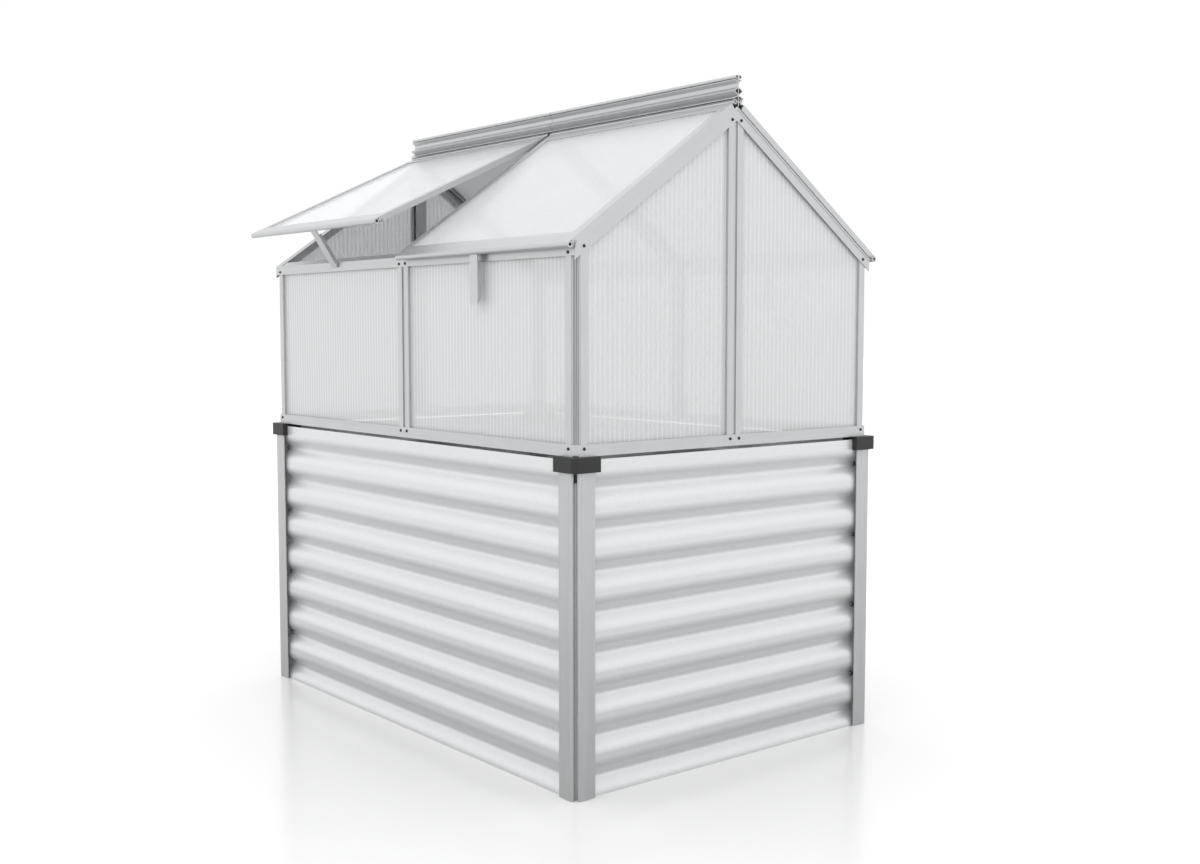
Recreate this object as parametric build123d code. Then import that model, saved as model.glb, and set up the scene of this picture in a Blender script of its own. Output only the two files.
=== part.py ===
"""Cold frame: a corrugated raised bed carrying a small glazed house with four hinged roof vents.

Millimetres. Origin on the floor at the middle of the bed, +Z up, +X along the ridge,
the front long side towards -Y. Left is -X and right is +X.
"""
import os
from math import asin, atan2, cos, degrees, hypot, radians, sin, sqrt, tan

from build123d import *

# ---- raised bed ----
bed_length = 1187.0          # over the corner posts, along X
bed_width = 810.0            # over the corner posts, along Y
post_arm = 48.5              # each leg of a corner post, from the outer corner
post_wall = 2.0
post_step = 1.5              # outer strip of the leg sits back by this
lobe_flat = 30.5             # flat lobe ends this far from the corner
lobe_slope_end = 41.0
lobe_radius = 4.5            # rounded nose of a lobe, beside the corner groove
lobe_setback = 15.1          # nose centre, from the corner
groove_half = 3.0            # half the width of the groove on the corner diagonal
cap_height = 28.0
cap_top = 624.5
cap_plate = 3.0
cap_wall = 2.5
cap_overhang = 4.5
cap_arm = 57.0
cap_arm_width = 31.0
cap_corner_radius = 10.0
panel_recess = 8.0           # crest of the sheet behind the post face
panel_depth = 16.0           # crest to trough
panel_gauge = 1.0
panel_drop = 6.0             # sheet top below the cap top
panel_end = 27.0             # sheet end, from the outer corner of the bed
wave_pitch = 75.8
bottom_trim = 4.1            # sheet's lower edge is cut this far past the middle of a crest
crest_half = 15.0            # half height of the flat on a crest
crest_radius = 26.0
trough_radius = 11.0
flange_thickness = 2.0       # inner flange of the post, behind the sheet
bolt_inset = 34.0            # bolt line, from the outer corner
first_bolt_wave = 1          # bolts go in every second trough from this one
bolt_diameter = 5.0
bolt_head = 10.0
bolt_head_height = 3.0
bolt_tail = 1.0              # bolt past its nut
nut_across = 8.0
nut_height = 2.7
hole_clearance = 0.5         # added to a fastener's diameter
cap_screw_diameter = 5.2
cap_screw_head = 9.0
cap_screw_length = 46.0
screw_boss_centre = 11.5     # screw channel of the post, from both faces
screw_boss_wall = 2.2

# ---- glazed house ----
house_setback = 9.0          # house faces behind the bed posts' faces
wall_height = 376.5          # cap top to the roof deck, at the outer face
roof_pitch = 35.0
sheet = 1.5                  # wall of every house extrusion
rail_height = 22.0
rail_corner_cut = 8.0        # rails stop this far from the house corner
rail_flange = 30.0
shelf_height = 3.5
rafter_depth = 22.4
rafter_flange = 26.0
bead_height = 4.8            # raised line along a rafter's upper edge
bead_proud = 0.8
eave_flange = 13.5
pane_thickness = 4.0
pane_setback = 6.5           # glazing face behind the house face
pane_fit = 0.2               # play between a pane and the lip beside it
post_leg = 30.0              # leg of a house corner post
flute_cut = 13.0             # chamfer that carries the flutes, from the corner
flute_radius = 2.5
flute_spacing = 6.1
mullion_width = 40.0
mullion_groove = 7.6
groove_floor = 4.2           # the groove's floor, behind the mullion's face
mullion_depth = 22.0
mullion_back = 30.0
lip = 1.5                    # thickness of the small glazing lips
back_lip = 16.0              # reach of the lip behind a pane
notch_gap = 0.4              # room round a piece that passes through another
centre_rafter_width = 30.0
centre_rafter_depth = 19.5

# ---- ridge ----
ridge_past_gable = 3.5
ridge_joint = 1.5            # gap between the two lengths
ridge_web = 2.0
ridge_height = 59.0          # over the roof deck's apex
bulb_width = 16.0
bulb_height = 7.7
vee_spread = 8.0
vee_foot = 43.7              # heights here are above the deck's apex
vee_top = 50.0
diamond_half = 10.9
diamond_low = 20.0
diamond_mid = 28.6
diamond_high = 35.6
arm_reach = 14.0
arm_drop = 6.0
hinge_offset = 9.0           # hinge axis from the ridge plane
hinge_rise = 7.7             # hinge axis above the deck's apex
bead_radius = 3.2            # round edge of a vent's top rail
socket_gap = 0.4
socket_wall = 1.6
socket_open_low = -62.0
socket_open_high = 42.0

# ---- vents ----
vent_gap = 7.0               # between the two vents of a slope
vent_side_proud = 2.5        # vent side past the gable face
eave_overhang = 25.1         # nose of a vent past the house face, down the slope
boss_room = 6.2              # under a vent's pane, for the screw bosses
deck_gap = 0.25              # closed vent above the deck
top_rail_start = 8.0
top_rail_end = 30.0
side_flange = 20.0
pane_ledge = 1.6             # pane top under the vent's top face
ledge_reach = 18.0
bottom_rail_reach = 38.5     # bottom rail starts this far up from the tip
pocket_reach = 18.0
nose_radius = 5.9
curl_reach = 15.5            # lower lip of the nose starts here
tongue_reach = 12.5          # vent side wall laps the bottom rail to here
stop_screw_inset = 16.0      # screw on a vent's top rail, from the hinge axis
stop_screw_length = 1.4      # ends above the pane
open_angle = 10.0            # the propped vent, from closed

# ---- stays ----
stay_shift = 8.25            # stay centre from the vent's middle, towards the middle of the house
stay_width = 26.0
stay_foot = 8.0              # stay past the eave's corner when it is propped
stay_depth = 7.5
stay_face = 1.0              # outer face in front of the pin axis
stay_wall = 1.5
stay_neck = 2.4              # thickness of the strap between pin and channel
stay_head = 17.0             # channel starts this far below the pin axis
pin_radius = 2.8
pin_gap = 0.4
pin_overlap = 4.0            # pin in the nose past each side of its window
window_gap = 0.7
foot_gap = 0.6               # propped stay in front of the eave's corner
seat_gap = 1.2               # room for the corner as the stay swings past

# ---- screws ----
screw_diameter = 3.5
screw_head = 6.4
screw_head_height = 1.8
screw_length = 5.8           # ends short of the glazing
vent_screw_length = 12.0

# ---- worked out ----
half_length = bed_length / 2
half_width = bed_width / 2
gable_face = half_length - house_setback
side_face = half_width - house_setback
panel_top = cap_top - panel_drop
wave_rise = wave_pitch / 2 - crest_half
first_trough = wave_pitch / 2 - bottom_trim
wave_count = int((panel_top - crest_half - first_trough - wave_rise) / wave_pitch) + 1
bolt_waves = range(first_bolt_wave, wave_count, 2)
slope = tan(radians(roof_pitch))
pitch_cos = cos(radians(roof_pitch))
pitch_sin = sin(radians(roof_pitch))
eave_deck = cap_top + wall_height
apex_deck = eave_deck + side_face * slope
rail_top = cap_top + rail_height
cap_bottom = cap_top - cap_height
post_top = cap_top - cap_plate
pane_back = pane_setback + pane_thickness
fin_start = pane_back + pane_fit
fin_end = fin_start + lip
sheet_rise = sheet / pitch_cos
post_pane_end = flute_cut + 1.5
hinge_y = -hinge_offset
hinge_z = apex_deck + hinge_rise
deck_below_hinge = (hinge_z - (apex_deck - hinge_offset * slope)) * pitch_cos
vent_low = deck_gap - deck_below_hinge
vent_high = vent_low + boss_room + pane_fit + pane_thickness + pane_ledge
vent_reach = (side_face - hinge_offset) / pitch_cos + eave_overhang
bottom_rail_start = vent_reach - bottom_rail_reach
pocket_end = vent_reach - pocket_reach
nose_curl = vent_reach - curl_reach
tongue_end = vent_reach - tongue_reach
pane_high = vent_high - pane_ledge
pane_low = pane_high - pane_thickness
nose_s = vent_reach - nose_radius
nose_n = vent_high - nose_radius
vent_outer = gable_face + vent_side_proud
vent_inner = vent_gap / 2
stay_place = (vent_outer + vent_inner) / 2 - stay_shift
pin_y = hinge_y - nose_s * pitch_cos - nose_n * pitch_sin
pin_z = hinge_z - nose_s * pitch_sin + nose_n * pitch_cos


def deck(y):
    """Height of the roof deck at a distance y from the ridge plane."""
    return apex_deck - abs(y) * slope


def outline(*points):
    return make_face(Polyline(*points, close=True))


def along_x(face, x0, x1):
    """Prism of a (y, z) face between two places on X."""
    return extrude(Plane.YZ.offset(x0) * face, amount=x1 - x0)


def along_y(face, y0, y1):
    """Prism of an (x, z) face between two places on Y."""
    return extrude(Plane.XZ.offset(-y0) * face, amount=-(y1 - y0))


def along_z(face, z0, z1):
    return extrude(Plane.XY.offset(z0) * face, amount=z1 - z0)


def block(x0, x1, y0, y1, z0, z1):
    size = (abs(x1 - x0), abs(y1 - y0), abs(z1 - z0))
    return Pos((x0 + x1) / 2, (y0 + y1) / 2, (z0 + z1) / 2) * Box(*size)


def strip(x0, x1, y0, y1):
    return Pos((x0 + x1) / 2, (y0 + y1) / 2) * Rectangle(abs(x1 - x0), abs(y1 - y0))


def swapped(face):
    """The same outline on the other leg of a corner."""
    return mirror(face, about=Plane((0, 0, 0), x_dir=(1, 1, 0), z_dir=(1, -1, 0)))


def to_right(part):
    return mirror(part, about=Plane.YZ)


def to_back(part):
    return mirror(part, about=Plane.XZ)


def mirrored_four(part):
    """Front left, front right, back left, back right."""
    return [part, to_right(part), to_back(part), to_back(to_right(part))]


def flipped(screws, x=1, y=1):
    return [((p[0] * x, p[1] * y, p[2]), (a[0] * x, a[1] * y, a[2])) for p, a in screws]


def pin(diameter, length, place, axis):
    """Cylinder from place along axis."""
    return extrude(Plane(place, z_dir=axis) * Circle(diameter / 2), amount=length)


def pan_screw(place, axis, length=screw_length):
    """Screw whose head stands on the surface at place; axis points into the work."""
    inward = Vector(*axis)
    shank = pin(screw_diameter, length, place, axis)
    rim = Plane(Vector(*place) - inward * screw_head_height, z_dir=axis)
    head = loft([rim * Circle(screw_head / 2 - 0.9), Plane(place, z_dir=axis) * Circle(screw_head / 2)])
    return shank + head


def drilled(part, screws, length=screw_length):
    return part - [pin(screw_diameter + hole_clearance, length + 1.0, place, axis) for place, axis in screws]


# ---------------------------------------------------------------- bed

def vertex_depth():
    """Depth of the unrounded trough vertex that leaves the rounded trough at panel_depth."""
    centre = panel_depth - trough_radius
    ratio = 1 - (trough_radius / wave_rise) ** 2
    return (centre + sqrt(centre ** 2 - ratio * (centre ** 2 - trough_radius ** 2))) / ratio


def wave_line(shift):
    """Front edge of a corrugated sheet as (depth, z), crest at zero depth."""
    points = [(shift, 0.0)]
    depth = vertex_depth() + shift
    for k in range(wave_count):
        trough = first_trough + k * wave_pitch
        points += [(shift, trough - wave_rise), (depth, trough), (shift, trough + wave_rise)]
    points.append((shift, panel_top))
    radii = [crest_radius, trough_radius, crest_radius] * wave_count
    return FilletPolyline(*points, radius=radii)


def sheet_profile():
    outer = wave_line(0.0)
    inner = wave_line(panel_gauge)
    return make_face([outer, inner, Line((0, 0), (panel_gauge, 0)),
                      Line((0, panel_top), (panel_gauge, panel_top))])


def post_profile():
    """Corner post section; both faces start at the corner (0, 0)."""
    leg = outline((lobe_setback, 0), (lobe_flat, 0), (lobe_slope_end, post_step), (post_arm, post_step),
                  (post_arm, post_step + post_wall), (lobe_slope_end, post_step + post_wall),
                  (lobe_flat, post_wall), (lobe_setback, post_wall))
    nose = Pos(lobe_setback, lobe_radius) * Circle(lobe_radius)
    nose -= Pos(lobe_setback, lobe_radius) * Circle(lobe_radius - post_wall)
    nose -= strip(lobe_setback, lobe_setback + 2 * lobe_radius, post_wall, 2 * lobe_radius)
    groove_wall = Pos(lobe_setback, lobe_radius) * Rot(Z=45) * strip(
        -1.0, 5.0, lobe_radius - post_wall, lobe_radius)
    half = leg + nose + groove_wall
    boss_bore = (cap_screw_diameter + hole_clearance) / 2
    boss = Pos(screw_boss_centre, screw_boss_centre) * Circle(boss_bore + screw_boss_wall)
    behind = panel_recess + panel_depth + panel_gauge
    web = Rot(Z=45) * strip(screw_boss_centre * sqrt(2) + boss_bore + 1.0,
                            (behind + flange_thickness / 2) * sqrt(2), -post_wall / 2, post_wall / 2)
    flange = strip(behind, post_arm - 3.0, behind, behind + flange_thickness)
    profile = half + swapped(half) + boss + web + flange + swapped(flange)
    profile -= Pos(screw_boss_centre, screw_boss_centre) * Circle(boss_bore)
    profile -= Rot(Z=45) * strip(0, screw_boss_centre * sqrt(2), -groove_half, groove_half)
    return profile


def sheet_holes(places, other_x, other_y):
    """Bolt holes through a sheet at places and at their mirror images."""
    holes = []
    for place, axis in places + flipped(places, other_x, other_y):
        start = Vector(*place) - Vector(*axis) * 3 * panel_gauge
        holes.append(pin(bolt_diameter + hole_clearance, 4 * panel_gauge, start, axis))
    return holes


def make_bed():
    parts = {}
    corner = Pos(-half_length, -half_width)
    trough_back = panel_recess + panel_depth + panel_gauge

    bolts_xy = []                     # (place, axis) of each bolt on the front left corner
    for k in bolt_waves:
        z = first_trough + k * wave_pitch
        bolts_xy.append(((-half_length + bolt_inset, -half_width + trough_back, z), (0, 1, 0)))
        bolts_xy.append(((-half_length + trough_back, -half_width + bolt_inset, z), (1, 0, 0)))

    post = along_z(corner * post_profile(), 0, post_top)
    for place, axis in bolts_xy:
        start = Vector(*place) - Vector(*axis) * panel_gauge
        post = post - pin(bolt_diameter + hole_clearance, flange_thickness + 2 * panel_gauge, start, axis)
    names = ("front_left", "front_right", "back_left", "back_right")
    for name, piece in zip(names, mirrored_four(post)):
        parts["bed_post_" + name] = piece

    profile = sheet_profile()
    front = along_x(Pos(-half_width + panel_recess, 0) * profile,
                    -half_length + panel_end, half_length - panel_end)
    left = along_y(Pos(-half_length + panel_recess, 0) * profile,
                   -half_width + panel_end, half_width - panel_end)
    front = front - sheet_holes([(p, a) for p, a in bolts_xy if a[1]], -1, 1)
    left = left - sheet_holes([(p, a) for p, a in bolts_xy if a[0]], 1, -1)
    parts["bed_panel_front"] = front
    parts["bed_panel_back"] = to_back(front)
    parts["bed_panel_left"] = left
    parts["bed_panel_right"] = to_right(left)

    # A head bears on the two flanks of its trough, so it stands off by the rise of the curve.
    seat = trough_radius - sqrt(trough_radius ** 2 - (bolt_head / 2) ** 2) + 0.1
    bolts = []
    nuts = []
    for place, axis in bolts_xy:
        inward = Vector(*axis)
        under_head = Vector(*place) - inward * (panel_gauge + seat)
        shank_length = panel_gauge + seat + flange_thickness + nut_height + bolt_tail
        shank = pin(bolt_diameter, shank_length, under_head, axis)
        dome = Plane(under_head - inward * bolt_head_height, z_dir=axis) * Circle(bolt_head / 2 - 1.6)
        head = loft([dome, Plane(under_head, z_dir=axis) * Circle(bolt_head / 2)])
        bolts.append(shank + head)
        nut_plane = Plane(Vector(*place) + inward * flange_thickness, x_dir=(0, 0, 1), z_dir=axis)
        hexagon = RegularPolygon(nut_across / 2, 6, major_radius=False) - Circle(bolt_diameter / 2 + 0.1)
        nuts.append(extrude(nut_plane * hexagon, amount=nut_height))
    parts["bed_bolts"] = Compound(children=[m for b in bolts for m in mirrored_four(b)])
    parts["bed_nuts"] = Compound(children=[m for n in nuts for m in mirrored_four(n)])

    outer = strip(-cap_overhang, cap_arm, -cap_overhang, cap_arm_width)
    outer += strip(-cap_overhang, cap_arm_width, -cap_overhang, cap_arm)
    shell = along_z(corner * outer, cap_bottom, cap_top)
    outside = (-bed_length, -bed_width, cap_top)
    shell = fillet(shell.edges().filter_by(Axis.Z).sort_by_distance(outside)[0], cap_corner_radius)
    shell = fillet(shell.faces().sort_by(Axis.Z)[-1].edges(), 0.8)
    hollow = strip(-cap_overhang + cap_wall, cap_arm - cap_wall, -cap_overhang + cap_wall,
                   cap_arm_width - cap_wall)
    hollow += swapped(hollow)
    hollow = fillet(hollow.vertices().sort_by_distance((-bed_length, -bed_width, 0))[0],
                    cap_corner_radius - cap_wall)
    shell = shell - along_z(corner * hollow, cap_bottom - 1, cap_top - cap_plate)
    slot = strip(cap_arm_width - cap_wall - 1, cap_arm + 1, panel_recess - 0.5, trough_back + 0.5)
    slot += swapped(slot)
    shell = shell - along_z(corner * slot, cap_bottom - 1, panel_top + 1.0)
    screw_xy = (-half_length + screw_boss_centre, -half_width + screw_boss_centre)
    shell = shell - pin(cap_screw_diameter + hole_clearance, 20, (*screw_xy, cap_top - 10), (0, 0, 1))
    sink = Pos(*screw_xy, cap_top - cap_plate / 2) * Cone(
        (cap_screw_diameter + hole_clearance) / 2, cap_screw_head / 2 + 0.3, cap_plate)
    parts["post_caps"] = Compound(children=mirrored_four(shell - sink))
    shank = pin(cap_screw_diameter, cap_screw_length - cap_plate, (*screw_xy, cap_top - cap_screw_length),
                (0, 0, 1))
    head = Pos(*screw_xy, cap_top - cap_plate / 2) * Cone(
        cap_screw_diameter / 2, cap_screw_head / 2, cap_plate)
    parts["cap_screws"] = Compound(children=mirrored_four(shank + head))
    return parts


# ---------------------------------------------------------------- house screws

screw_line = rail_height / 2 + 3.0           # above the cap top
corner_screw = 20.5                          # from the house corner
mullion_screw = mullion_groove / 2 + (mullion_width - mullion_groove) / 4
eave_screw = eave_deck - 13.5
rafter_screw = deck(side_face - corner_screw) - rafter_depth / 2 / pitch_cos - 3.5
apex_screw = deck(mullion_screw) - rafter_depth * 0.65 / pitch_cos


def front_screws():
    """Screws of the front side, left half."""
    y = -side_face
    corner_x = -gable_face + corner_screw
    return [((corner_x, y, cap_top + screw_line), (0, 1, 0)),
            ((-mullion_screw, y, cap_top + screw_line), (0, 1, 0)),
            ((corner_x, y, eave_screw), (0, 1, 0)),
            ((-mullion_screw, y, eave_screw), (0, 1, 0))]


def left_screws():
    """Screws of the left gable, front half, and the one on its middle."""
    x = -gable_face
    corner_y = -side_face + corner_screw
    return [((x, corner_y, cap_top + screw_line), (1, 0, 0)),
            ((x, -mullion_screw, cap_top + screw_line), (1, 0, 0)),
            ((x, corner_y, rafter_screw), (1, 0, 0)),
            ((x, -mullion_screw, apex_screw), (1, 0, 0))]


# ---------------------------------------------------------------- house frame

def corner_post_profile():
    leg = strip(flute_cut, post_leg, sheet, 2 * sheet)
    leg += strip(post_leg - lip, post_leg, sheet, pane_setback - pane_fit)
    leg += strip(fin_start, post_leg - 3.0, fin_start, fin_end)
    web = Rot(Z=45) * strip(flute_cut * 0.75 + 1.2, (fin_start + 0.5) * sqrt(2), -lip / 2, lip / 2)
    thick = 5.0
    flat = outline((flute_cut, sheet), (flute_cut + thick, sheet), (sheet, flute_cut + thick),
                   (sheet, flute_cut))
    middle = (flute_cut + sheet) / 2
    for k in (-1, 0, 1):
        shift = k * flute_spacing / sqrt(2)
        flat -= Pos(middle + shift, middle - shift) * Circle(flute_radius)
    return leg + swapped(leg) + web + flat


def deck_cutter(drop):
    """Everything above the front roof deck lowered by drop."""
    far = side_face + 60
    low = outline((-far, deck(far) - drop), (far, apex_deck + far * slope - drop),
                  (far, apex_deck + 2000), (-far, apex_deck + 2000))
    return along_x(low, -gable_face - 60, gable_face + 60)


def make_corner_posts():
    corner = Pos(-gable_face, -side_face)
    post = along_z(corner * corner_post_profile(), cap_top, eave_deck + 40)
    cut = rail_corner_cut
    foot = outline((cut, 0), (cut + 3.0, 0), (0, cut + 3.0), (0, cut))
    toe = along_z(corner * foot, cap_top + 2.5, rail_top)
    filler = outline((cut + 1.0, sheet), (flute_cut + 2.0, sheet), (sheet, flute_cut + 2.0),
                     (sheet, cut + 1.0))
    toe += along_z(corner * filler, cap_top + 2.5, rail_top)
    plate_room = block(-gable_face - 1, -gable_face + sheet, -side_face + cut, -side_face + 60,
                       cap_top - 1, rail_top + 0.01)
    plate_room += block(-gable_face + cut, -gable_face + 60, -side_face - 1, -side_face + sheet,
                        cap_top - 1, rail_top + 0.01)
    post = post + (toe - plate_room)
    post = post - deck_cutter(sheet_rise + 0.2)
    front = front_screws()
    left = left_screws()
    return drilled(post, [front[0], front[2], left[0], left[2]])


def mullion_profile():
    """Section with its middle at x = 0 and the house face at y = 0."""
    half = mullion_width / 2
    groove = mullion_groove / 2
    side = strip(groove, half, sheet, 2 * sheet)
    side += strip(half - lip, half, sheet, pane_setback - pane_fit)
    side += strip(groove, groove + sheet, sheet, pane_back)
    side += strip(0, back_lip, fin_start, fin_end)
    side += strip(0, groove + sheet, groove_floor, groove_floor + sheet)
    side += strip(0, lip / 2, fin_end, mullion_depth)
    side += strip(0, mullion_back / 2, mullion_depth - sheet, mullion_depth)
    return side + mirror(side, about=Plane.YZ)


def rail_profile():
    """Base rail section as (inward, up) from its lower outer edge."""
    plate = strip(0, sheet, 0, rail_height)
    inside = strip(0, rail_flange, 0, sheet)
    inside += strip(0, fin_end, shelf_height, shelf_height + sheet)
    inside += strip(fin_start, fin_end, 0, rail_height - 2.0)
    inside += strip(rail_flange - sheet, rail_flange, 0, 8.0)
    return plate, inside


def mullion_room(height0, height1):
    half = mullion_width / 2 + notch_gap
    return block(-half, half, -side_face + sheet, -side_face + mullion_depth + notch_gap, height0, height1)


def make_base_rails():
    plate, inside = rail_profile()
    place = Pos(-side_face, cap_top)
    post_room = post_leg + notch_gap
    front = along_x(place * plate, -gable_face + rail_corner_cut, gable_face - rail_corner_cut)
    front += along_x(place * inside, -gable_face + post_room, gable_face - post_room)
    front -= mullion_room(cap_top + sheet, rail_top + 1)
    screws = front_screws()[:2]
    front = drilled(front, screws + flipped(screws, x=-1))

    place = Pos(-gable_face, cap_top)
    left = along_y(place * plate, -side_face + rail_corner_cut, side_face - rail_corner_cut)
    left += along_y(place * inside, -side_face + post_room, side_face - post_room)
    half = mullion_width / 2 + notch_gap
    left -= block(-gable_face + sheet, -gable_face + mullion_depth + notch_gap, -half, half,
                  cap_top + sheet, rail_top + 1)
    screws = left_screws()[:2]
    left = drilled(left, screws + flipped(screws, y=-1))
    return front, left


def make_eave_rail():
    y = -side_face
    low = eave_deck - rail_height + 2.0
    plate = outline((y, low), (y + sheet, low), (y + sheet, deck(y + sheet) - 0.02), (y, eave_deck))
    inside = outline((y, eave_deck - sheet_rise), (y + eave_flange, deck(y + eave_flange) - sheet_rise),
                     (y + eave_flange, deck(y + eave_flange)), (y, eave_deck))
    fin = outline((y + fin_start, low + 3.0), (y + fin_end, low + 3.0),
                  (y + fin_end, deck(y + fin_end) - 1.0), (y + fin_start, deck(y + fin_start) - 1.0))
    reach = gable_face - sheet - 0.2
    room = gable_face - post_leg - notch_gap
    rail = along_x(plate, -reach, reach) + along_x(inside, -room, room)
    fins = along_x(fin, -room, room) - mullion_room(low, eave_deck + 30)
    rail = rail + fins
    screws = front_screws()[2:]
    return drilled(rail, screws + flipped(screws, x=-1))


def make_gable_rafter():
    """Front rafter of the left gable."""
    y = -side_face
    drop = rafter_depth / pitch_cos
    plate = outline((y, eave_deck), (0, apex_deck), (0, apex_deck - drop), (y, eave_deck - drop))
    bead = outline((y, eave_deck), (0, apex_deck), (0, apex_deck - bead_height / pitch_cos),
                   (y, eave_deck - bead_height / pitch_cos))
    x = -gable_face
    rafter = along_x(plate, x, x + sheet) + along_x(bead, x - bead_proud, x)
    low = y + sheet + 0.2
    flange = outline((low, deck(low)), (0, apex_deck), (0, apex_deck - sheet_rise),
                     (low, deck(low) - sheet_rise))
    rafter += along_x(flange, x, x + rafter_flange)
    a = y + post_leg + 2.0
    b = -mullion_width / 2 - notch_gap
    fin = outline((a, deck(a)), (b, deck(b)), (b, deck(b) - drop * 0.8), (a, deck(a) - drop * 0.8))
    rafter += along_x(fin, x + fin_start, x + fin_end)
    rafter -= block(x - 5, x + 60, -30, 30, apex_deck - 0.6, apex_deck + 5)
    return drilled(rafter, left_screws()[2:])


def make_mullions():
    front = along_z(Pos(0, -side_face) * mullion_profile(), cap_top + sheet, eave_deck + 40)
    front = front - deck_cutter(sheet_rise + 0.2)
    screws = front_screws()[1:2] + front_screws()[3:]
    front = drilled(front, screws + flipped(screws, x=-1))

    turned = Pos(-gable_face, 0) * Rot(Z=-90) * mullion_profile()
    gable = along_z(turned, cap_top + sheet, apex_deck + 10)
    above = deck_cutter(sheet_rise + 0.2)
    gable = gable - above - to_back(above)
    screws = left_screws()[1:2] + left_screws()[3:]
    gable = drilled(gable, screws + flipped(screws, y=-1))
    return front, gable


def make_centre_rafter():
    """Front rafter at the middle of the house, from the mullion to the ridge."""
    a = -side_face + mullion_depth + notch_gap
    b = -ridge_web / 2 - 1.5
    half = centre_rafter_width / 2

    def band(h0, h1):
        return outline((a, deck(a) - h0 / pitch_cos), (b, deck(b) - h0 / pitch_cos),
                       (b, deck(b) - h1 / pitch_cos), (a, deck(a) - h1 / pitch_cos))

    rafter = along_x(band(0, sheet), -half, half)
    rafter += along_x(band(sheet, centre_rafter_depth - sheet), -lip / 2, lip / 2)
    rafter += along_x(band(centre_rafter_depth - sheet, centre_rafter_depth), -8.0, 8.0)
    return rafter


def make_wall_panes():
    """Two panes of the front side, then the two of the left gable."""
    low = cap_top + shelf_height + sheet + pane_fit
    inner = mullion_groove / 2 + sheet + pane_fit
    outer = gable_face - post_pane_end
    y = -side_face + pane_setback
    top = eave_deck - 5.0
    side = block(-outer, -inner, y, y + pane_thickness, low, top)

    outer = side_face - post_pane_end
    below = 8.0
    shape = outline((-outer, low), (-inner, low), (-inner, deck(inner) - below),
                    (-outer, deck(outer) - below))
    x = -gable_face + pane_setback
    gable = along_x(shape, x, x + pane_thickness)
    return side, gable


# ---------------------------------------------------------------- ridge

def ridge_profile():
    """Half section for y < 0 joined to its mirror image, as (y, z)."""
    base = apex_deck - 0.6
    top = apex_deck + ridge_height
    half_web = ridge_web / 2
    bar = sheet * 0.6

    def limb(y0, z0, y1, z1):
        length = hypot(y1 - y0, z1 - z0)
        nx = (z1 - z0) / length * bar
        ny = (y1 - y0) / length * bar
        return outline((-y0 - nx, z0 - ny), (-y1 - nx, z1 - ny), (-y1 + nx, z1 + ny), (-y0 + nx, z0 + ny))

    side = strip(-half_web, 0, base, top - bulb_height / 2)
    side += limb(0, apex_deck + vee_foot, vee_spread, apex_deck + vee_top)
    side += limb(0, apex_deck + diamond_high, diamond_half, apex_deck + diamond_mid)
    side += limb(diamond_half, apex_deck + diamond_mid, 0, apex_deck + diamond_low)
    side += Pos(-diamond_half, apex_deck + diamond_mid) * Circle(bar)
    side += limb(0, apex_deck + diamond_low, arm_reach, apex_deck + diamond_low - arm_drop)
    side += strip(-hinge_offset + bead_radius + socket_gap + 0.4, 0, hinge_z - bar, hinge_z + bar)
    inner = bead_radius + socket_gap
    ring = Pos(-hinge_offset, hinge_z) * (Circle(inner + socket_wall) - Circle(inner))
    mouth = []
    for angle in (socket_open_low, (socket_open_low + socket_open_high) / 2, socket_open_high):
        mouth.append((-hinge_offset - 16 * cos(radians(angle)), hinge_z + 16 * sin(radians(angle))))
    ring -= outline((-hinge_offset, hinge_z), *mouth)
    side += ring
    bulb = Pos(0, top - bulb_height / 2) * RectangleRounded(bulb_width, bulb_height, bulb_height / 2 - 0.05)
    for k in (-1, 1):
        bulb -= Pos(k * bulb_width * 0.27, top - bulb_height / 2) * Circle(bulb_height / 2 - sheet)
    return side + mirror(side, about=Plane.YZ) + bulb


# ---------------------------------------------------------------- vents

hinge_plane = Plane((0, hinge_y, hinge_z), x_dir=(0, -pitch_cos, -pitch_sin), z_dir=(-1, 0, 0))


def vent_prism(face, x0, x1):
    """Prism of a (down the slope, off the slope) face, front vents, between two places on X."""
    start = Plane((x1, hinge_y, hinge_z), x_dir=hinge_plane.x_dir, z_dir=(-1, 0, 0))
    return extrude(start * face, amount=x1 - x0)


def vent_point(x, s, n):
    """Place on the closed front vent: s down the slope from the hinge, n off it."""
    return (x, hinge_y - s * pitch_cos - n * pitch_sin, hinge_z - s * pitch_sin + n * pitch_cos)


def vent_screw_list():
    """Screws through the right-hand side wall of the front left vent, then the left-hand one."""
    return [(vent_point(-vent_inner, boss_s, boss_n), (-1, 0, 0)),
            (vent_point(-vent_outer, boss_s, boss_n), (1, 0, 0))]


boss_n = vent_low + screw_head / 2 + 0.15      # a screw head just clears the deck
boss_radius = (screw_diameter + hole_clearance) / 2 + 0.8
boss_s = (pocket_end + tongue_end) / 2 - 3.0


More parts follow.
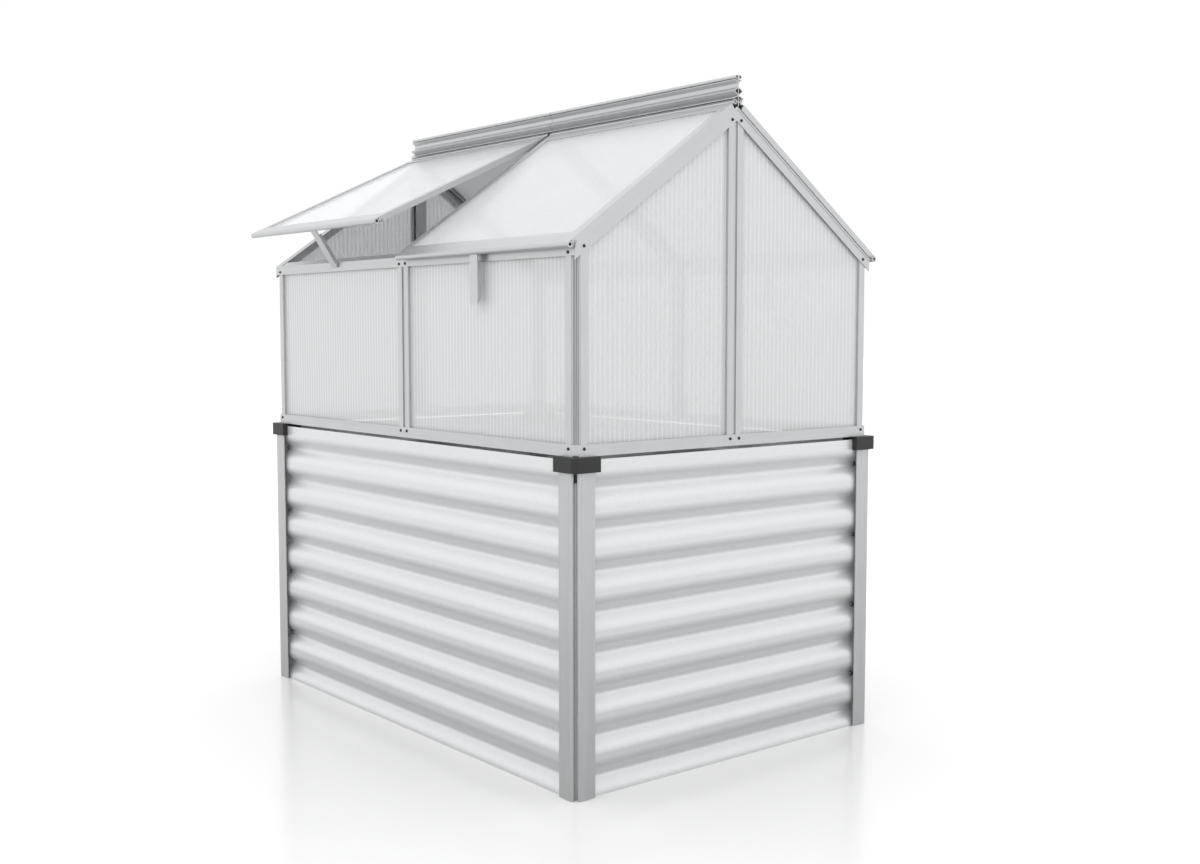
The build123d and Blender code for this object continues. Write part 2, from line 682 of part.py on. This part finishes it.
def make_vent():
    """Front left vent, closed, as separate pieces."""
    x0 = -vent_outer
    x1 = -vent_inner
    ledge = pane_low - pane_fit
    screws = vent_screw_list()

    top = Circle(bead_radius) + strip(0, top_rail_start + 1, -sheet / 2, sheet / 2)
    top += strip(top_rail_start, top_rail_end, vent_high - sheet, vent_high)
    top += strip(top_rail_start, top_rail_start + sheet, vent_low, vent_high)
    top += strip(top_rail_start, top_rail_end - 2, ledge - sheet, ledge)
    top += strip(top_rail_start, top_rail_start + 8, vent_low, vent_low + sheet)
    middle_x = (x0 + x1) / 2
    stop = (vent_point(middle_x, stop_screw_inset, vent_high), (0, pitch_sin, -pitch_cos))
    top_rail = drilled(vent_prism(top, x0 + sheet, x1 - sheet), [stop], stop_screw_length)

    low = strip(bottom_rail_start, nose_s, vent_high - sheet, vent_high)
    low += strip(bottom_rail_start + 2, pocket_end, ledge - sheet, ledge)
    low += strip(pocket_end - sheet, pocket_end, ledge - sheet, vent_high)
    low += strip(bottom_rail_start + 5, bottom_rail_start + 5 + sheet, vent_low, ledge)
    low += strip(nose_curl, nose_s, vent_low, vent_low + sheet)
    low += Pos(boss_s, boss_n) * Circle(boss_radius)
    low += strip(boss_s - 0.6, boss_s + 0.6, boss_n, ledge)
    low -= Pos(boss_s, boss_n) * Circle((screw_diameter + hole_clearance) / 2)
    nose = Pos(nose_s, nose_n) * Circle(nose_radius)
    nose += strip(tongue_end + 0.3, nose_s, vent_high - sheet, vent_high)
    nose += strip(tongue_end + 0.3, nose_s, vent_low, vent_low + sheet)
    bore = Pos(nose_s, nose_n) * Circle(pin_radius + pin_gap)
    bottom_rail = vent_prism(low - bore, x0 + sheet, x1 - sheet) + vent_prism(nose - bore, x0, x1)
    half = stay_width / 2 + window_gap
    window = block(-stay_place - half, -stay_place + half, pin_y - stay_neck / 2 - window_gap,
                   pin_y + 20, pin_z - 20, pin_z + stay_neck / 2 + 2 * window_gap)
    bottom_rail = bottom_rail - window

    s0 = top_rail_start
    wall = strip(s0, tongue_end, vent_low, vent_high)
    wall -= strip(pocket_end, tongue_end + 1, vent_low - 1, vent_low + 2)
    flange = strip(top_rail_end + 0.2, bottom_rail_start - 0.2, vent_high - sheet, vent_high)
    support = strip(top_rail_end, bottom_rail_start, ledge - sheet, ledge)
    side = vent_prism(wall, x1 - sheet, x1)
    side += vent_prism(flange, x1 - side_flange, x1 - sheet / 2)
    side += vent_prism(support, x1 - ledge_reach, x1 - sheet / 2)
    side = drilled(side, screws[:1], vent_screw_length)
    middle = Plane((middle_x, 0, 0), z_dir=(1, 0, 0))
    side_rails = [side, mirror(side, about=middle)]

    pane_s0 = top_rail_start + sheet + 0.5
    pane_s1 = pocket_end - sheet - 0.5
    inset = sheet + 0.5
    pane = vent_prism(strip(pane_s0, pane_s1, pane_low, pane_high), x0 + inset, x1 - inset)

    fasteners = [pan_screw(place, axis, vent_screw_length) for place, axis in screws]
    fasteners.append(pan_screw(*stop, stop_screw_length))
    return {"top_rail": top_rail, "bottom_rail": bottom_rail, "side_rails": side_rails,
            "pane": pane, "screws": fasteners}


def turned_about(part, y, z, angle):
    """Front pieces turned about an X axis; positive lifts the vent's nose."""
    return Pos(0, y, z) * Rot(X=-angle) * Pos(0, -y, -z) * part


def open_pin():
    """Place of the stay's pin when the vent is propped."""
    turn = radians(open_angle)
    dy = pin_y - hinge_y
    dz = pin_z - hinge_z
    return hinge_y + dy * cos(turn) + dz * sin(turn), hinge_z - dy * sin(turn) + dz * cos(turn)


def prop():
    """Distance from the raised pin to the eave's corner, and the propped stay's angle from hanging."""
    open_y, open_z = open_pin()
    across = -side_face - open_y
    down = open_z - eave_deck
    distance = hypot(across, down)
    lean = asin((stay_depth - stay_face + foot_gap) / distance)
    return distance, degrees(atan2(across, down) - lean)


def make_stay():
    """Stay of the front left vent, hanging from the closed vent."""
    half = stay_width / 2
    x = -stay_place
    outer = pin_y - stay_face
    inner = outer + stay_depth
    reach, prop_angle = prop()
    low = pin_z - reach - stay_foot
    high = pin_z - stay_head
    stay = block(x - half, x + half, outer, outer + stay_wall, low, high)
    for k in (-1, 1):
        edge = x + k * half
        stay += block(edge, edge - k * stay_wall, outer, inner, low, high)
    stay += block(x - half, x + half, pin_y - stay_neck / 2, pin_y + stay_neck / 2, high - 2.0, pin_z)
    barrel = half + pin_overlap
    stay += pin(2 * pin_radius, 2 * barrel, (x - barrel, pin_y, pin_z), (1, 0, 0))

    # The notch is the eave's corner as the propped stay meets it.
    open_y, open_z = open_pin()
    corner = (-side_face - seat_gap, eave_deck + seat_gap)
    far = 60.0
    wedge = outline(corner, (corner[0] + far, corner[1] + far * slope),
                    (corner[0] + far, corner[1] - far), (corner[0], corner[1] - far))
    wedge = along_x(wedge, x - half - 5, x + half + 5)
    wedge = Pos(0, pin_y - open_y, pin_z - open_z) * wedge
    wedge = Pos(0, pin_y, pin_z) * Rot(X=-prop_angle) * Pos(0, -pin_y, -pin_z) * wedge
    return stay - wedge


def make_vents():
    parts = {}
    closed = make_vent()
    stay = make_stay()
    prop_angle = prop()[1]
    for side in ("front_left", "front_right", "back_left", "back_right"):
        for name, piece in list(closed.items()) + [("stay", stay)]:
            solids = piece if isinstance(piece, list) else [piece]
            if side == "front_left":
                if name == "stay":
                    solids = [turned_about(s, pin_y, pin_z, -(prop_angle + open_angle)) for s in solids]
                solids = [turned_about(s, hinge_y, hinge_z, open_angle) for s in solids]
            if "right" in side:
                solids = [to_right(s) for s in solids]
            if "back" in side:
                solids = [to_back(s) for s in solids]
            key = "vent_" + side + "_" + name
            parts[key] = Compound(children=solids) if len(solids) > 1 else solids[0]
    return parts


def make_house():
    parts = {}
    names = ("front_left", "front_right", "back_left", "back_right")
    for name, piece in zip(names, mirrored_four(make_corner_posts())):
        parts["corner_post_" + name] = piece
    front, left = make_base_rails()
    parts["base_rail_front"] = front
    parts["base_rail_back"] = to_back(front)
    parts["base_rail_left"] = left
    parts["base_rail_right"] = to_right(left)
    side_mullion, gable_mullion = make_mullions()
    parts["side_mullions"] = Compound(children=[side_mullion, to_back(side_mullion)])
    parts["gable_mullions"] = Compound(children=[gable_mullion, to_right(gable_mullion)])
    eave = make_eave_rail()
    parts["eave_rail_front"] = eave
    parts["eave_rail_back"] = to_back(eave)
    rafter = make_gable_rafter()
    parts["gable_rafters_left"] = Compound(children=[rafter, to_back(rafter)])
    parts["gable_rafters_right"] = Compound(children=[to_right(rafter), to_right(to_back(rafter))])
    centre = make_centre_rafter()
    parts["centre_rafters"] = Compound(children=[centre, to_back(centre)])
    profile = ridge_profile()
    ridge_end = gable_face + ridge_past_gable
    parts["ridge_beam_left"] = along_x(profile, -ridge_end, -ridge_joint / 2)
    parts["ridge_beam_right"] = along_x(profile, ridge_joint / 2, ridge_end)
    side, gable = make_wall_panes()
    parts["wall_panes_front"] = Compound(children=[side, to_right(side)])
    parts["wall_panes_back"] = Compound(children=[to_back(side), to_back(to_right(side))])
    parts["gable_panes_left"] = Compound(children=[gable, to_back(gable)])
    parts["gable_panes_right"] = Compound(children=[to_right(gable), to_right(to_back(gable))])
    screws = [pan_screw(place, axis) for place, axis in front_screws() + left_screws()]
    parts["frame_screws"] = Compound(children=[m for s in screws for m in mirrored_four(s)])
    return parts


def main():
    os.makedirs("parts", exist_ok=True)
    parts = {**make_bed(), **make_house(), **make_vents()}
    for name, part in parts.items():
        part.label = name
        export_step(part, "parts/" + name + ".step")
    print(len(parts), "nodes; hinge", hinge_y, hinge_z, "pin", pin_y, pin_z)
    print("raised pin", open_pin(), "prop", prop())


main()
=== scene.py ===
import math

import bpy
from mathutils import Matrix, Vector

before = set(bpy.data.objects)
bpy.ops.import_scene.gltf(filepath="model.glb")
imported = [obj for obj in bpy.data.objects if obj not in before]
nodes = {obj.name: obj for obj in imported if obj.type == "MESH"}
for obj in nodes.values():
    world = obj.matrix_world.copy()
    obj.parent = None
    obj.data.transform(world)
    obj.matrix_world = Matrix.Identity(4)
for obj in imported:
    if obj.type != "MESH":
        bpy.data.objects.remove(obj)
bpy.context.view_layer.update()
print("frame loaded:", len(nodes), "nodes")


def linear(hexColour):
    # sRGB hex to linear light, with full alpha
    channels = [int(hexColour[i:i + 2], 16) / 255 for i in (1, 3, 5)]
    return [c / 12.92 if c <= 0.04045 else ((c + 0.055) / 1.055) ** 2.4 for c in channels] + [1.0]


def addNode(tree, kind, settings=None, inputs=None):
    # settings are the node's own, inputs are numbers, colours or sockets to link
    node = tree.nodes.new(kind)
    for key, value in (settings or {}).items():
        setattr(node, key, value)
    for key, value in (inputs or {}).items():
        if isinstance(value, bpy.types.NodeSocket):
            tree.links.new(value, node.inputs[key])
        else:
            node.inputs[key].default_value = value
    return node


def startMaterial(name, surface):
    # a material with its shader set, and its tree, shader and Object coordinates
    material = bpy.data.materials.new(name)
    material.use_nodes = True
    tree = material.node_tree
    shader = tree.nodes["Principled BSDF"]
    for key, value in surface.items():
        shader.inputs[key].default_value = value
    place = addNode(tree, "ShaderNodeTexCoord")
    return material, tree, shader, place.outputs["Object"]


def perMetre(millimetres):
    # how many repeats of a real size fit in one metre, as a texture scale
    return 1000.0 / millimetres


aluminium = {
    "colour": "#C8C9CA",
    "shade": "#BFC0C1",       # the darker of the two tones that the die streaks run between
    "metal": 0.85,
    "postMetal": 0.35,        # the bed's posts, under a thicker and milkier anodising
    "smooth": 0.34,           # roughness on the glossiest streaks
    "rough": 0.44,            # and on the dullest
    "streak": 6.4,            # mm across one broad die streak, coarser than real so that it shows
    "streakLength": 400.0,    # mm along it
    "cloud": 60.0,            # mm across one cloudy patch
    "cloudShare": 0.3,
    "depth": 0.0002,          # m that the streaks stand up
    "bump": 0.05,
}


def extrudedAluminium(name, along, metal=aluminium["metal"]):
    # anodised 6063 aluminium as it leaves the die: long faint lines and a soft satin gloss
    material, tree, shader, place = startMaterial(name, {"Metallic": metal})
    across = perMetre(aluminium["streak"])
    length = perMetre(aluminium["streakLength"])
    if along == "slope":
        scale = [across, length, length]
    else:
        scale = [length if axis == along else across for axis in "XYZ"]
    stretch = addNode(tree, "ShaderNodeMapping", {}, {"Vector": place, "Scale": scale})
    lines = addNode(tree, "ShaderNodeTexNoise", {}, {"Vector": stretch.outputs["Vector"], "Scale": 1.0,
                                                     "Detail": 3.0, "Roughness": 0.6})
    cloud = addNode(tree, "ShaderNodeTexNoise", {}, {"Vector": place, "Scale": perMetre(aluminium["cloud"]),
                                                     "Detail": 2.0})
    blend = addNode(tree, "ShaderNodeMath", {"operation": "MULTIPLY_ADD"},
                    {0: cloud.outputs["Fac"], 1: aluminium["cloudShare"], 2: lines.outputs["Fac"]})
    tone = addNode(tree, "ShaderNodeMapRange", {}, {"Value": blend.outputs["Value"], "From Min": 0.45,
                                                    "From Max": 0.85})
    tint = addNode(tree, "ShaderNodeMix", {"data_type": "RGBA"},
                   {"Factor": tone.outputs["Result"], 6: linear(aluminium["shade"]),
                    7: linear(aluminium["colour"])})
    gloss = addNode(tree, "ShaderNodeMapRange", {}, {"Value": lines.outputs["Fac"], "From Min": 0.3,
                                                     "From Max": 0.7, "To Min": aluminium["smooth"],
                                                     "To Max": aluminium["rough"]})
    relief = addNode(tree, "ShaderNodeBump", {}, {"Height": lines.outputs["Fac"],
                                                  "Distance": aluminium["depth"],
                                                  "Strength": aluminium["bump"]})
    tree.links.new(tint.outputs[2], shader.inputs["Base Color"])
    tree.links.new(gloss.outputs["Result"], shader.inputs["Roughness"])
    tree.links.new(relief.outputs["Normal"], shader.inputs["Normal"])
    return material


sheet = {
    "colour": "#E4E5E6",
    "spangle": "#E1E2E3",     # the duller crystals
    "metal": 0.4,
    "crystal": 5.0,           # mm across one zinc crystal
    "smooth": 0.35,           # roughness on the glossiest crystals
    "rough": 0.38,            # and on the dullest
    "waver": 180.0,           # mm from hollow to hollow of the rolled sheet's slight unevenness
    "depth": 0.001,           # m
    "bump": 0.03,
}


def zincAluminiumSheet():
    # roll-formed steel with a hot-dip zinc-aluminium coat: pale satin, with a faint spangle
    material, tree, shader, place = startMaterial("zinc_aluminium_coated_sheet", {"Metallic": sheet["metal"]})
    crystals = addNode(tree, "ShaderNodeTexVoronoi", {},
                       {"Vector": place, "Scale": perMetre(sheet["crystal"])})
    grey = addNode(tree, "ShaderNodeSeparateColor", {}, {"Color": crystals.outputs["Color"]})
    tint = addNode(tree, "ShaderNodeMix", {"data_type": "RGBA"},
                   {"Factor": grey.outputs["Red"], 6: linear(sheet["spangle"]), 7: linear(sheet["colour"])})
    gloss = addNode(tree, "ShaderNodeMapRange", {}, {"Value": grey.outputs["Green"],
                                                     "To Min": sheet["smooth"], "To Max": sheet["rough"]})
    waver = addNode(tree, "ShaderNodeTexNoise", {}, {"Vector": place, "Scale": perMetre(sheet["waver"]),
                                                     "Detail": 1.0})
    relief = addNode(tree, "ShaderNodeBump", {}, {"Height": waver.outputs["Fac"], "Distance": sheet["depth"],
                                                  "Strength": sheet["bump"]})
    tree.links.new(tint.outputs[2], shader.inputs["Base Color"])
    tree.links.new(gloss.outputs["Result"], shader.inputs["Roughness"])
    tree.links.new(relief.outputs["Normal"], shader.inputs["Normal"])
    return material


plastic = {
    "colour": "#1D1E1F",
    "worn": "#262728",
    "roughness": 0.5,
    "grain": 0.9,             # mm across one grain of the mould's texture
    "depth": 0.0002,          # m
    "bump": 0.3,
}


def mouldedNylon():
    # injection-moulded nylon, spark-eroded grain, slightly paler where the grain stands up
    material, tree, shader, place = startMaterial("moulded_nylon", {"Roughness": plastic["roughness"]})
    grain = addNode(tree, "ShaderNodeTexNoise", {}, {"Vector": place, "Scale": perMetre(plastic["grain"]),
                                                     "Detail": 2.0})
    tint = addNode(tree, "ShaderNodeMix", {"data_type": "RGBA"},
                   {"Factor": grain.outputs["Fac"], 6: linear(plastic["colour"]), 7: linear(plastic["worn"])})
    relief = addNode(tree, "ShaderNodeBump", {}, {"Height": grain.outputs["Fac"],
                                                  "Distance": plastic["depth"],
                                                  "Strength": plastic["bump"]})
    tree.links.new(tint.outputs[2], shader.inputs["Base Color"])
    tree.links.new(relief.outputs["Normal"], shader.inputs["Normal"])
    return material


fastener = {
    "patch": 2.0,             # mm across one patch of the plating
    "depth": 0.0001,          # m
    "bump": 0.2,
    "zinc": ("#6E6F71", "#7C7D80", 0.35),        # the two tones of the finish, and its roughness
    "brightZinc": ("#A3A4A6", "#B0B1B3", 0.35),
    "blackOxide": ("#343536", "#404142", 0.4),
}


def turnedSteel(name, colour, worn, roughness):
    # small machined and plated fasteners, with a little variation in the plating
    material, tree, shader, place = startMaterial(name, {"Metallic": 1.0, "Roughness": roughness})
    plating = addNode(tree, "ShaderNodeTexNoise", {}, {"Vector": place, "Scale": perMetre(fastener["patch"]),
                                                       "Detail": 3.0})
    tint = addNode(tree, "ShaderNodeMix", {"data_type": "RGBA"},
                   {"Factor": plating.outputs["Fac"], 6: linear(colour), 7: linear(worn)})
    relief = addNode(tree, "ShaderNodeBump", {}, {"Height": plating.outputs["Fac"],
                                                  "Distance": fastener["depth"],
                                                  "Strength": fastener["bump"]})
    tree.links.new(tint.outputs[2], shader.inputs["Base Color"])
    tree.links.new(relief.outputs["Normal"], shader.inputs["Normal"])
    return material


pane = {
    "colour": "#F4F5F6",
    "roofShadedColour": "#E6E8EA",  # painted shade: the roof's panes greyer than the walls' panes, to hold down the extra light they take from above
    "rib": 11.5,              # mm from rib to rib, coarser than real so that it shows
    "ribShare": 0.2,          # how much of that shows as rib
    "clear": 0.55,            # how opaque the skins are between ribs
    "solid": 0.74,            # and over a rib
    "roofSolid": 0.86,        # over a rib of the roof's panes
    "roughness": 0.22,
    "drift": 90.0,            # mm across one patch of the skins' slight milkiness
    "driftShare": 0.15,
    "depth": 0.0003,          # m that a rib stands up
    "bump": 0.25,
}


def twinWallPolycarbonate(name, across, solid, colour):
    # extruded 4 mm twin-wall polycarbonate: milky skins over fine parallel ribs
    surface = {"Base Color": linear(colour), "Roughness": pane["roughness"]}
    material, tree, shader, place = startMaterial(name, surface)
    split = addNode(tree, "ShaderNodeSeparateXYZ", {}, {"Vector": place})
    turns = addNode(tree, "ShaderNodeMath", {"operation": "MULTIPLY"},
                    {0: split.outputs[across], 1: perMetre(pane["rib"])})
    wave = addNode(tree, "ShaderNodeMath", {"operation": "PINGPONG"}, {0: turns.outputs["Value"], 1: 0.5})
    rib = addNode(tree, "ShaderNodeMapRange", {"interpolation_type": "SMOOTHSTEP"},
                  {"Value": wave.outputs["Value"], "From Max": pane["ribShare"],
                   "To Min": 1.0, "To Max": 0.0})
    drift = addNode(tree, "ShaderNodeTexNoise", {}, {"Vector": place, "Scale": perMetre(pane["drift"]),
                                                     "Detail": 2.0})
    amount = addNode(tree, "ShaderNodeMath", {"operation": "MULTIPLY_ADD"},
                     {0: drift.outputs["Fac"], 1: pane["driftShare"], 2: rib.outputs["Result"]})
    cover = addNode(tree, "ShaderNodeMapRange", {},
                    {"Value": amount.outputs["Value"], "From Max": 1.0 + pane["driftShare"],
                     "To Min": pane["clear"], "To Max": solid})
    relief = addNode(tree, "ShaderNodeBump", {}, {"Height": rib.outputs["Result"], "Distance": pane["depth"],
                                                  "Strength": pane["bump"]})
    tree.links.new(cover.outputs["Result"], shader.inputs["Alpha"])
    tree.links.new(relief.outputs["Normal"], shader.inputs["Normal"])
    return material


def paint(node, material):
    slots = nodes[node].data.materials
    if not slots:
        slots.append(material)
    for index in range(len(slots)):
        slots[index] = material


alongX = extrudedAluminium("anodised_aluminium_along_x", "X")
alongY = extrudedAluminium("anodised_aluminium_along_y", "Y")
alongZ = extrudedAluminium("anodised_aluminium_along_z", "Z")
bedPost = extrudedAluminium("anodised_aluminium_bed_post", "Z", aluminium["postMetal"])
alongSlope = extrudedAluminium("anodised_aluminium_down_slope", "slope")
coatedSheet = zincAluminiumSheet()
nylon = mouldedNylon()
zincSteel = turnedSteel("zinc_plated_steel", *fastener["zinc"])
brightSteel = turnedSteel("bright_zinc_steel", *fastener["brightZinc"])
blackSteel = turnedSteel("black_oxide_steel", *fastener["blackOxide"])
sidePane = twinWallPolycarbonate("twin_wall_polycarbonate_sides", "X", pane["solid"], pane["colour"])
gablePane = twinWallPolycarbonate("twin_wall_polycarbonate_gables", "Y", pane["solid"], pane["colour"])
# the roof's panes take the greyer colour, painted shade for the light they take from above
roofPane = twinWallPolycarbonate("twin_wall_polycarbonate_roof", "X", pane["roofSolid"], pane["roofShadedColour"])

for node in nodes:
    if node.startswith("bed_panel"):
        paint(node, coatedSheet)
    elif node == "post_caps":
        paint(node, nylon)
    elif node in ("bed_bolts", "bed_nuts"):
        paint(node, zincSteel)
    elif node.startswith("vent") and node.endswith("screws"):
        paint(node, brightSteel)
    elif node.endswith("screws"):
        paint(node, blackSteel)
    elif node.startswith("wall_panes"):
        paint(node, sidePane)
    elif node.startswith("gable_panes"):
        paint(node, gablePane)
    elif node.endswith("_pane"):
        paint(node, roofPane)
    elif node.startswith("bed_post"):
        paint(node, bedPost)
    elif node.startswith(("corner_post", "side_mullions", "gable_mullions")) or node.endswith("_stay"):
        paint(node, alongZ)
    elif node in ("base_rail_left", "base_rail_right"):
        paint(node, alongY)
    elif node.startswith(("gable_rafters", "centre_rafters")) or node.endswith("side_rails"):
        paint(node, alongSlope)
    else:
        paint(node, alongX)
print("materials done")


stageSetting = {
    "size": 60.0,             # m along each side
    "shadeSeen": "#F2F2F2",        # painted shade on the floor round the object, as the camera sees it
    "bounced": "#A8A8A8",     # and as it lights the object from close below
    "near": 0.9,              # m from the middle where both start to fade to white, so the painted shade lies only near the object
    "far": 3.2,
    "roughness": 0.2,
}


def makeFloor():
    bpy.ops.object.select_all(action="DESELECT")
    bpy.ops.mesh.primitive_plane_add(size=stageSetting["size"], location=(0, 0, 0))
    floor = bpy.context.object
    floor.name = "studio_floor"
    surface = {"Roughness": stageSetting["roughness"]}
    material, tree, shader, place = startMaterial("white_studio_floor", surface)
    reach = addNode(tree, "ShaderNodeVectorMath", {"operation": "LENGTH"}, {0: place})
    fade = addNode(tree, "ShaderNodeMapRange", {}, {"Value": reach.outputs["Value"],
                                                    "From Min": stageSetting["near"],
                                                    "From Max": stageSetting["far"]})
    ray = addNode(tree, "ShaderNodeLightPath")
    close = addNode(tree, "ShaderNodeMix", {"data_type": "RGBA"},
                    {"Factor": ray.outputs["Is Camera Ray"], 6: linear(stageSetting["bounced"]),
                     7: linear(stageSetting["shadeSeen"])})
    # painted shade: the floor greyer near the object, fading to plain white further out
    tone = addNode(tree, "ShaderNodeMix", {"data_type": "RGBA"},
                   {"Factor": fade.outputs["Result"], 6: close.outputs[2], 7: (1, 1, 1, 1)})
    tree.links.new(tone.outputs[2], shader.inputs["Base Color"])
    floor.data.materials.append(material)


skySetting = {
    "level": 1.25,            # strength of the light that comes in level with the object
    "above": 0.98,            # and straight down
    "backdrop": 1.02,         # what the camera sees, just past plain white
}


def makeSky():
    # a white room: brighter level with the object than overhead, plain white to the camera
    world = bpy.data.worlds.new("white_studio")
    world.use_nodes = True
    tree = world.node_tree
    background = tree.nodes["Background"]
    place = addNode(tree, "ShaderNodeTexCoord")
    split = addNode(tree, "ShaderNodeSeparateXYZ", {}, {"Vector": place.outputs["Generated"]})
    height = addNode(tree, "ShaderNodeMapRange", {},
                     {"Value": split.outputs["Z"], "To Min": skySetting["level"],
                      "To Max": skySetting["above"]})
    ray = addNode(tree, "ShaderNodeLightPath")
    strength = addNode(tree, "ShaderNodeMix", {"data_type": "FLOAT"},
                       {0: ray.outputs["Is Camera Ray"], 2: height.outputs["Result"],
                        3: skySetting["backdrop"]})
    background.inputs["Color"].default_value = (1, 1, 1, 1)
    tree.links.new(strength.outputs[0], background.inputs["Strength"])
    bpy.context.scene.world = world


softbox = {
    "place": (0.3, -0.4, 3.6),
    "target": (0, 0, 0.6),
    "width": 3.5,             # m
    "depth": 3.0,
    "power": 28,              # W
}


def addSoftbox():
    lamp = bpy.data.lights.new("overhead_softbox", "AREA")
    lamp.shape = "RECTANGLE"
    lamp.size = softbox["width"]
    lamp.size_y = softbox["depth"]
    lamp.energy = softbox["power"]
    holder = bpy.data.objects.new("overhead_softbox", lamp)
    holder.location = softbox["place"]
    aim = Vector(softbox["target"]) - Vector(softbox["place"])
    holder.rotation_euler = aim.to_track_quat("-Z", "Y").to_euler()
    bpy.context.scene.collection.objects.link(holder)


cameraSetting = {
    "place": (2.4815, -1.8836, 0.8529),
    "turn": 50.855,           # degrees anticlockwise from facing +Y
    "dip": 4.336,             # degrees below level
    "lens": 40.95,            # mm
    "sensor": 36.0,
    "reach": 200.0,           # m, past the floor's far edge
}


def makeCamera():
    data = bpy.data.cameras.new("view")
    data.lens = cameraSetting["lens"]
    data.sensor_width = cameraSetting["sensor"]
    data.clip_end = cameraSetting["reach"]
    camera = bpy.data.objects.new("view", data)
    camera.location = cameraSetting["place"]
    tilt = math.radians(90 - cameraSetting["dip"])
    camera.rotation_euler = (tilt, 0, math.radians(cameraSetting["turn"]))
    bpy.context.scene.collection.objects.link(camera)
    bpy.context.scene.camera = camera


makeFloor()
makeSky()
addSoftbox()
makeCamera()
bpy.context.scene.view_settings.view_transform = "Standard"
print("stage done")
